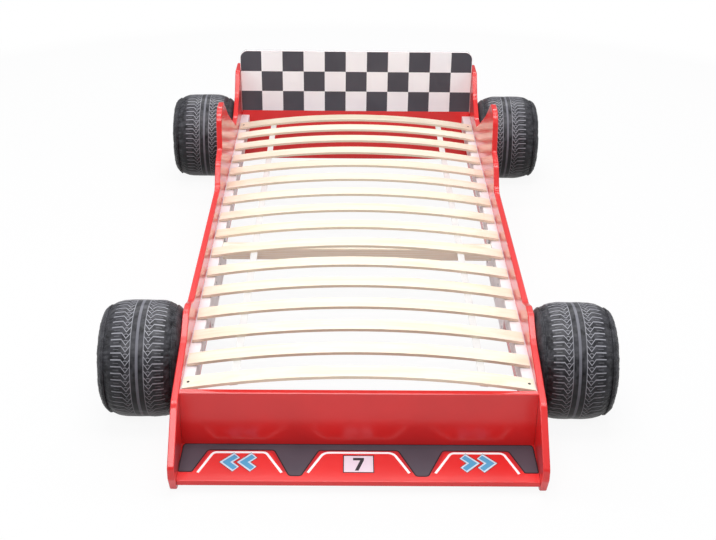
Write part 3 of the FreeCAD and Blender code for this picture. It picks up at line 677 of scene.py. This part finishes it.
def tyre_profile():
    """The cover's section, from the plate's opening to the hub's middle: (out, radius, part)."""
    rows = [(OFF_PANEL, INNER_EDGE + 8.0 * share, "inner") for share in np.linspace(0.0, 1.0, 10)]
    start, end = Vector((0.6, 122.0)), Vector((SEAM_IN - CORD_ROOM, SEAM_RADIUS - 0.6))
    for share in np.linspace(0.06, 0.97, 12):
        point = start.lerp(end, share) + Vector((-0.2, 2.6)) * 4 * share * (1 - share)
        rows.append((max(point.x, OFF_PANEL), point.y, "inner"))
    rows += [(out, radius, "seam") for out, radius in piping(SEAM_IN, SEAM_RADIUS, -1.0)]
    half, middle = (SEAM_OUT - SEAM_IN) / 2 - CORD_ROOM, (SEAM_OUT + SEAM_IN) / 2
    foot = SEAM_RADIUS - 0.8
    for share in np.linspace(-0.99, 0.99, 64):
        crown = 1.0 - abs(share) ** 4.6
        rows.append((middle + half * share, foot + (CROWN_RADIUS - foot) * crown, "tread"))
    rows += [(out, radius, "seam") for out, radius in piping(SEAM_OUT, SEAM_RADIUS, 1.0)]
    start = Vector((SEAM_OUT + CORD_ROOM, SEAM_RADIUS - 1.0))
    end = Vector((HUB_OUT, HUB_RADIUS + 2.0))
    for share in np.linspace(0.03, 0.98, 32):
        swell = 4 * share * (1 - share)
        point = start.lerp(end, share) + Vector((11.0, 4.5)) * swell ** 0.8
        rows.append((point.x, point.y, "side"))
    rows += [(HUB_OUT - 1.2, HUB_RADIUS + 1.0, "hub_seam"), (HUB_OUT - 2.0, HUB_RADIUS, "hub_seam"),
             (HUB_OUT - 1.2, HUB_RADIUS - 1.0, "hub_seam")]
    for share in np.linspace(0.02, 1.0, 22):
        radius = (HUB_RADIUS - 1.5) * (1 - share)
        rows.append((HUB_OUT - 0.6 + 8.2 * (1 - (1 - share) ** 2.6), radius, "hub"))
    return rows


def ripple(turn, pace, seed):
    """Even noise round a tyre, the same where it meets itself. Pace is how quickly it changes."""
    return noise.noise(Vector((math.cos(turn) * pace, math.sin(turn) * pace, seed)))


def dent(out, radius, turn, pace, seed):
    """Even noise over a tyre's cover, in both directions."""
    along = (out + abs(radius - SEAM_RADIUS)) / 26.0
    return ripple(turn, pace, seed + along * pace / 7.0)


def fade(distance, reach, foot):
    """1 near a seam and 0 far from it, but 0 in the seam itself."""
    return math.exp(-distance / reach) * min(1.0, distance / foot)


def gathered(out, radius, part, turn, pulls, seed):
    """A point of the section once the seams gather the cover and its weight settles it."""
    tuck, slack, crease, fan = pulls
    sag = SAG_DEPTH * max(0.0, -math.sin(turn)) ** 2
    off_out = math.hypot(out - SEAM_OUT, radius - SEAM_RADIUS)
    off_hub = abs(radius - HUB_RADIUS)
    if part in ("tread", "side"):
        near = min(abs(out - SEAM_IN), off_out)
        push = dent(out, radius, turn, 7.0, seed + 31.0) * DENT_DEPTH
        folds = dent(out, radius, turn, 21.0, seed + 47.0) * FOLD_DEPTH
        push += folds * math.exp(-near / FOLD_REACH)
        push *= min(1.0, near / 7.0)
        if part == "tread":
            radius += push
        else:
            out += push
    if part == "tread":
        near = min(abs(out - SEAM_IN), abs(out - SEAM_OUT))
        radius += tuck * TUCK_DEPTH * fade(near, TUCK_REACH, 6.0)
        radius += fan * FAN_DEPTH * fade(near, FAN_REACH, 6.0)
        radius += slack * 1.2 - 0.3 + sag * math.exp(-near / SAG_REACH)
    elif part == "side":
        off_out = math.hypot(out - SEAM_OUT, radius - SEAM_RADIUS)
        pull = fade(off_out, CREASE_REACH, 5.0)
        out += crease * CREASE_DEPTH * (pull + fade(off_hub, CREASE_HUB_REACH, 4.0))
        out += slack * 1.2 - 0.6
        radius += tuck * 1.8 * pull + sag * math.exp(-off_out / 14.0)
    elif part == "seam":
        radius += slack * 0.8 + tuck * 0.9 + sag
        out += crease * 0.5
    elif part == "hub":
        out += crease * 1.4 * fade(off_hub, 10.0, 4.0)
    return out, radius


def recess(reach):
    """The way into the hollow for the plywood plate, from the inner side: (out, radius)."""
    wide = (reach + INNER_EDGE) / 2 if reach < INNER_EDGE else INNER_EDGE - 0.1
    return [(HOLLOW_DEPTH, reach * 0.5), (HOLLOW_DEPTH, reach * 0.94), (HOLLOW_DEPTH - 0.9, reach),
            (1.2, reach), (OFF_PANEL, min(reach * 1.01, INNER_EDGE - 0.3)), (OFF_PANEL, wide)]


def tyre_points(side, seed, stretch, drop):
    """Sections all round a stuffed tyre in metres from its tread's middle, flat on the floor."""
    rows = tyre_profile()
    points = []
    for number in range(AROUND):
        turn = 2 * math.pi * number / AROUND
        pulls = (ripple(turn, 12.0, seed) + 0.8 * ripple(turn, 25.0, seed + 5.3),
                 ripple(turn, 2.1, seed + 9.1),
                 ripple(turn, 15.0, seed + 14.7) + 0.7 * ripple(turn, 31.0, seed + 17.9),
                 ripple(turn, 7.0, seed + 21.3))
        reach = HOLLOW_HALF / max(abs(math.cos(turn)), abs(math.sin(turn)))
        for out, radius in recess(reach):
            points.append((out, radius * math.cos(turn), radius * math.sin(turn) + drop))
        for out, radius, part in rows:
            out, radius = gathered(out, radius, part, turn, pulls, seed)
            longer = stretch if out > SEAM_IN else 1.0 + (stretch - 1.0) * out / SEAM_IN
            points.append((out * longer, radius * math.cos(turn), radius * math.sin(turn)))
    points = np.array(points)
    points[:, 0] = (points[:, 0] - TREAD_MIDDLE) * side
    points *= MM
    floor = FLOOR_GAP - WHEEL_HEIGHT + drop * MM
    height = points[:, 2]
    spread = np.clip(1.0 - (height - floor) / SQUASH, 0.0, 1.0)
    points[:, 1] *= 1.0 + spread * SPREAD
    below = height < floor
    height[below] = floor + (floor - height[below]) * 0.02
    return points


def tyre_mesh(name, side, points):
    """The closed cover through a tyre's points, with the hollow for its plywood plate."""
    columns = len(points) // AROUND
    made = bmesh.new()
    vertices = [made.verts.new(point) for point in points]
    for number in range(AROUND):
        start, following = number * columns, (number + 1) % AROUND * columns
        for column in range(columns - 1):
            corners = [start + column, start + column + 1,
                       following + column + 1, following + column]
            made.faces.new([vertices[index] for index in (corners if side < 0 else corners[::-1])])
    bmesh.ops.remove_doubles(made, verts=made.verts[:], dist=1e-6)
    rim = [edge for edge in made.edges if edge.is_boundary]
    bmesh.ops.holes_fill(made, edges=rim, sides=AROUND + 1)
    bmesh.ops.triangulate(made, faces=big_faces(made))
    bmesh.ops.recalc_face_normals(made, faces=made.faces[:])
    return finished(made, name)


def make_tyres(cover):
    places = [(end, side) for end in ("front", "rear") for side in ("left", "right")]
    for number, (end, side) in enumerate(places):
        sign = -1 if side == "left" else 1
        node = "tyre_%s_%s" % (end, side)
        low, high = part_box(node)
        stretch, drop = TYRES[end]
        mesh = tyre_mesh(node, sign, tyre_points(sign, 3.0 + 11.0 * number, stretch, drop))
        piece = add_piece("cover_%s_%s" % (end, side), mesh, [cover])
        panel_face = (high.x if side == "left" else low.x) - sign * FLOOR_GAP
        piece.location = (panel_face + sign * TREAD_MIDDLE * MM, (low.y + high.y) / 2,
                          WHEEL_HEIGHT - drop * MM)
        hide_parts(node)


# ---------------------------------------------------------------- webbing

STRAP_OUT = 0.318            # how far the straps' middles lie from the bed's middle, in metres
SLAT_HALF = 0.0265           # half of a slat's width
GAP_HALF = 0.0375            # half of the open space between two slats
STRAP_SAG = 1.7 * MM
STRAP_HALF, STRAP_THICK = 10.4 * MM, 0.65 * MM   # half their width, and half their thickness
STRAP_STEPS = 480


def make_straps(finish):
    """Woven bands under the slats, tight on each and sagging a little between."""
    slats = sorted(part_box("slat_%02d" % number)[0].y for number in range(1, 17))
    lean = math.asin(STRAP_OUT / ARCH_RADIUS)
    wide, thick = STRAP_HALF, STRAP_THICK
    section = [(-wide, -thick), (-wide * 0.96, -thick * 1.25), (wide * 0.96, -thick * 1.25),
               (wide, -thick), (wide, thick), (wide * 0.96, thick * 1.2),
               (-wide * 0.96, thick * 1.2), (-wide, thick)]
    for side, sign in (("left", -1), ("right", 1)):
        low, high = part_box("webbing_strap_%s" % side)
        middle_z = (low.z + high.z) / 2
        made = bmesh.new()
        rows = []
        for number in range(STRAP_STEPS + 1):
            y = low.y + (high.y - low.y) * number / STRAP_STEPS
            off = min(abs(y - (front + SLAT_HALF)) for front in slats)
            open_share = min(max(0.0, off - SLAT_HALF) / GAP_HALF, 1.0)
            sag = STRAP_SAG * (1 - (1 - open_share) ** 2)
            row = []
            for across, up in section:
                x = sign * (STRAP_OUT + across * math.cos(lean) + up * math.sin(lean))
                z = middle_z - across * math.sin(lean) + up * math.cos(lean) - sag
                row.append(made.verts.new((x, y, z)))
            rows.append(row)
        for row, following in zip(rows, rows[1:]):
            for a, b, c, d in zip(row, row[1:] + row[:1], following[1:] + following[:1], following):
                made.faces.new((a, b, c, d))
        made.faces.new(rows[0])
        made.faces.new(rows[-1][::-1])
        bmesh.ops.recalc_face_normals(made, faces=made.faces[:])
        name = "webbing_%s" % side
        piece = add_piece(name, finished(made, name), [finish], smooth=False)
        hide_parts("webbing_strap_%s" % side)


# ---------------------------------------------------------------- screws

HEAD_POINTS = 24
DRIVER_CROSS = (0.50, 0.40, 0.17, 0.14, 0.17, 0.40)   # shares of the head's radius, by turns

# A head's rings of points: the shares of its radius that they reach by turns, and the share of
# its height.
HEAD_RINGS = (((1.0,), 0.30), ((0.93,), 0.70), ((0.72,), 1.0), (DRIVER_CROSS, 1.02),
              (DRIVER_CROSS, 0.35))
SUNK = 0.2                   # millimetres of a head that lie in its board

BRACKET_LEG = 26.0           # millimetres from a bracket's corner to its screws
BRACKET_GAUGE = 2.0          # and the thickness of its steel

# The brackets' corners: how far from the bed's middle, how far back, how high, and their screws'
# heights above that.
BRACKETS = ((454.8, -974.8, 60.0, (14, 46)), (454.8, 1055.2, 60.0, (14, 46)),
            (454.8, 1055.2, 269.0, (14, 46)), (424.8, -92.8, 155.0, (8, 22)))

# Where the screws sit in the joining boards, the ledgers and the end slats.
JOINT_FACE, JOINT_MIDDLE = 437.0, -173.0
JOINT_SCREWS, JOINT_HEIGHTS = (-215, -130, -35, 35, 130, 215), (56.0, 121.0)
LEDGER_FACE, LEDGER_SCREW_HEIGHT = 425.0, 172.0
LEDGER_SCREWS = (-935, -735, -535, -335, -215, 20, 220, 420, 620, 820, 1010)
SLAT_SCREW_OUT = 437.0
SLAT_TOP_RADIUS = ARCH_RADIUS + 8 * MM   # metres


def screw_heads(name, spots, radius, height, finish):
    """Domed screw heads with a sunk cross. Each spot is a place in millimetres and a direction."""
    made = bmesh.new()
    for number, (spot, way) in enumerate(spots):
        facing = Vector(way).to_track_quat("Z", "Y").to_matrix()
        turn = facing @ Matrix.Rotation(0.7 * number, 3, "Z")

        def ring(shares, rise):
            points = []
            for step in range(HEAD_POINTS):
                angle = 2 * math.pi * step / HEAD_POINTS
                reach = radius * shares[step % len(shares)]
                point = Vector((reach * math.cos(angle), reach * math.sin(angle), rise))
                points.append(made.verts.new((Vector(spot) + turn @ point) * MM))
            return points

        rings = [ring((1.0,), -SUNK)]
        rings += [ring(shares, rise * height) for shares, rise in HEAD_RINGS]
        for outer, inner in zip(rings, rings[1:]):
            for step in range(HEAD_POINTS):
                follow = (step + 1) % HEAD_POINTS
                made.faces.new((outer[step], outer[follow], inner[follow], inner[step]))
        made.faces.new(rings[-1])
        made.faces.new(rings[0][::-1])
    bmesh.ops.triangulate(made, faces=big_faces(made))
    add_piece(name, finished(made, name), [finish], smooth=False)


def make_screws(steel, dark):
    """The screws of the brackets, joining boards, ledgers and end slats."""
    brackets, boards, slats = [], [], []
    lean = math.asin(SLAT_SCREW_OUT * MM / SLAT_TOP_RADIUS)
    slat_top = (ARCH_MIDDLE + SLAT_TOP_RADIUS * math.cos(lean)) / MM
    for sign in (-1, 1):
        inwards = (-sign, 0, 0)
        for edge, back, foot, rows in BRACKETS:
            for height in (foot + rise for rise in rows):
                for out, along, way in ((BRACKET_GAUGE, BRACKET_LEG, inwards),
                                        (BRACKET_LEG, BRACKET_GAUGE, (0, 1, 0))):
                    brackets.append(((sign * (edge - out), back + along, height), way))
        for off in JOINT_SCREWS:
            for height in JOINT_HEIGHTS:
                boards.append(((sign * JOINT_FACE, JOINT_MIDDLE + off, height), inwards))
        for along in LEDGER_SCREWS:
            boards.append(((sign * LEDGER_FACE, along, LEDGER_SCREW_HEIGHT), inwards))
        for number in (1, 16):
            low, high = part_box("slat_%02d" % number)
            slats.append(((sign * SLAT_SCREW_OUT, (low.y + high.y) / 2 / MM, slat_top),
                          (sign * math.sin(lean), 0, math.cos(lean))))
    screw_heads("bracket_screws", brackets, 3.7, 1.5, steel)
    screw_heads("board_screws", boards, 3.9, 1.3, steel)
    screw_heads("slat_screws", slats, 4.0, 0.5, dark)


# ---------------------------------------------------------------- prints

CHECK_COLUMNS, CHECK_ROWS = 11, 3
BOARD_HALF = 0.4548          # metres, as are all sizes of the headboard's print
PRINT_HALF, PRINT_FOOT = 0.4526, 0.2196
PRINT_CORNER = 0.0279
PRINT_MARGIN = 0.0022


def make_headboard_print(slate, white):
    """Three rows of eleven checks, with the board's own rounded top corners."""
    low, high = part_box("headboard")
    half, foot, top = PRINT_HALF, PRINT_FOOT, high.z - PRINT_MARGIN
    outline = round_off([(-half, foot), (half, foot), (half, top), (-half, top)],
                        [0, 0, PRINT_CORNER, PRINT_CORNER], steps=8)
    wide, tall = 2 * BOARD_HALF / CHECK_COLUMNS, (top - foot) / CHECK_ROWS
    layers = [(0, outline)]
    for column in range(CHECK_COLUMNS):
        for row in range(CHECK_ROWS):
            if (column + row) % 2:
                left = max(-half, -BOARD_HALF + column * wide)
                right = min(half, -BOARD_HALF + (column + 1) * wide)
                bottom, upper = foot + row * tall, foot + (row + 1) * tall
                layers.append((1, [(left, bottom), (right, bottom), (right, upper), (left, upper)]))
    printed_film("headboard_print", layers, [slate, white],
                 lambda corner: Vector((corner.x, low.y, corner.y)), Vector((0.0, -1.0, 0.0)))


NOSE_BACK = Vector((-0.9932, 0.05297))         # the nose board's upper edges: (Y, Z) in metres
NOSE_FRONT = Vector((-1.1240, 0.03300))

# The print's outlines: millimetres from the board's middle, and down from its back edge.
NOSE_BAND = (
    (-449, 2), (449, 2), (452.5, 98), (421, 98), (387, 21), (215, 21), (174, 111), (146, 111),
    (103, 21), (-103, 21), (-146, 111), (-174, 111), (-215, 21), (-387, 21), (-421, 98),
    (-452.5, 98))
BAND_ROUNDING = (9, 9, 3, 3, 12, 12, 9, 9, 12, 12, 9, 9, 12, 12, 3, 3)
SIDE_EDGE = ((-417, 89), (-387, 21), (-215, 21), (-180, 97))
MIDDLE_EDGE = ((-140, 97), (-103, 21), (103, 21), (140, 97))
SIDE_LINE = ((-405, 103), (-371, 31), (-237, 31), (-194, 102))
MIDDLE_LINE = ((-128, 102), (-89, 31), (89, 31), (128, 102))
EDGE_WIDTH, LINE_WIDTH, OUTLINE_WIDTH = 21.0, 6.6, 3.4
NUMBER_BORDER = ((-39.5, 40), (39.5, 40), (39.5, 101.5), (-39.5, 101.5))
NUMBER_PLATE = ((-37, 42.5), (37, 42.5), (37, 99.0), (-37, 99.0))
SEVEN = ((-14, 49), (14, 49), (14, 57), (0, 94), (-9.5, 94), (4, 58), (-14, 58))
CHEVRONS = ((-324, -1), (-280, -1), (324, 1), (280, 1))   # their middles, and the way they point


def make_nose_print(finishes):
    """The nose board's print: dark blocks, crimson and white stripes, a number and chevrons."""
    charcoal, outline, crimson, white, plate, blue, pale, ink = range(8)
    down = (NOSE_FRONT - NOSE_BACK).normalized()
    up = Vector((0.0, down.y, -down.x))

    def place(spot):
        point = NOSE_BACK + down * spot[1] * MM
        return Vector((spot[0] * MM, point.x, point.y))

    def poly(corners):
        return [Vector(corner) for corner in corners]

    band = round_off(poly(NOSE_BAND), BAND_ROUNDING)
    side_edge = round_off(poly(SIDE_EDGE), 12, closed=False)
    middle_edge = round_off(poly(MIDDLE_EDGE), 12, closed=False)
    side_line = round_off(poly(SIDE_LINE), 15, closed=False)
    middle_line = round_off(poly(MIDDLE_LINE), 24, closed=False)
    layers = []
    for line in (side_edge, mirrored(side_edge), middle_edge):
        layers.append((crimson, stroke(line, EDGE_WIDTH)))
    layers += [(outline, grown(band, OUTLINE_WIDTH)), (charcoal, band)]
    for line in (side_line, mirrored(side_line), middle_line):
        layers.append((white, stroke(line, LINE_WIDTH)))
    layers += [(outline, poly(NUMBER_BORDER)), (plate, poly(NUMBER_PLATE)), (ink, poly(SEVEN))]
    for grow, tone in ((6.0, outline), (4.6, pale), (0.0, blue)):
        for middle, way in CHEVRONS:
            bend = 12.0 + grow * 0.4
            line = poly(((middle - way * bend, 44 - grow * 0.5), (middle + way * 12, 66),
                         (middle - way * bend, 88 + grow * 0.5)))
            layers.append((tone, stroke(line, 14.0 + 2 * grow)))
    printed_film("nose_print", layers, finishes, place, up)


# ---------------------------------------------------------------- the bed


def dress(node, material):
    """Gives a CAD node its finish."""
    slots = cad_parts[node].data.materials
    slots.clear()
    slots.append(material)


def main():
    make_camera()
    for lamp in LAMPS:
        make_lamp(*lamp)
    make_world()
    make_floor()
    red, foil, steel = red_lacquer(), white_foil(), zinc_steel()
    finishes = (   # the first start of a name that fits a node names its finish
        ("side_panel", red), ("front_panel", red), ("nose_", red), ("joint_plate", foil),
        ("ledger", foil), ("crossbar_brackets", steel), ("crossbar", pine()),
        ("corner_brackets", steel), ("wheel_bolts", steel), ("wheel_plate", plywood()),
        ("slat_", birch()), ("headboard", red_lacquer("headboard_lacquer", pale_from=0.21)))
    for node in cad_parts:
        for start, material in finishes:
            if node.startswith(start):
                dress(node, material)
                break
    make_tyres(tyre_cover())
    make_straps(webbing())
    make_screws(steel, dark_screw())
    white = print_ink("print_white", (249, 250, 252), (245, 245, 248))
    make_headboard_print(print_ink("print_slate", (80, 80, 88), (74, 74, 82)), white)
    make_nose_print([print_ink("print_charcoal", (80, 73, 83), (74, 68, 78)),
                     print_ink("print_outline", (34, 18, 24), (30, 15, 20)),
                     print_ink("print_crimson", (190, 34, 42), (182, 32, 40)),
                     white,
                     print_ink("print_plate", (228, 214, 226), (222, 207, 221)),
                     print_ink("print_blue", (84, 162, 205), (78, 154, 198)),
                     print_ink("print_pale", (206, 222, 236), (198, 214, 230)),
                     print_ink("print_ink", (44, 42, 50), (38, 36, 44))])


main()
bpy.context.scene.view_settings.view_transform = "Standard"

bpy.context.view_layer.update()
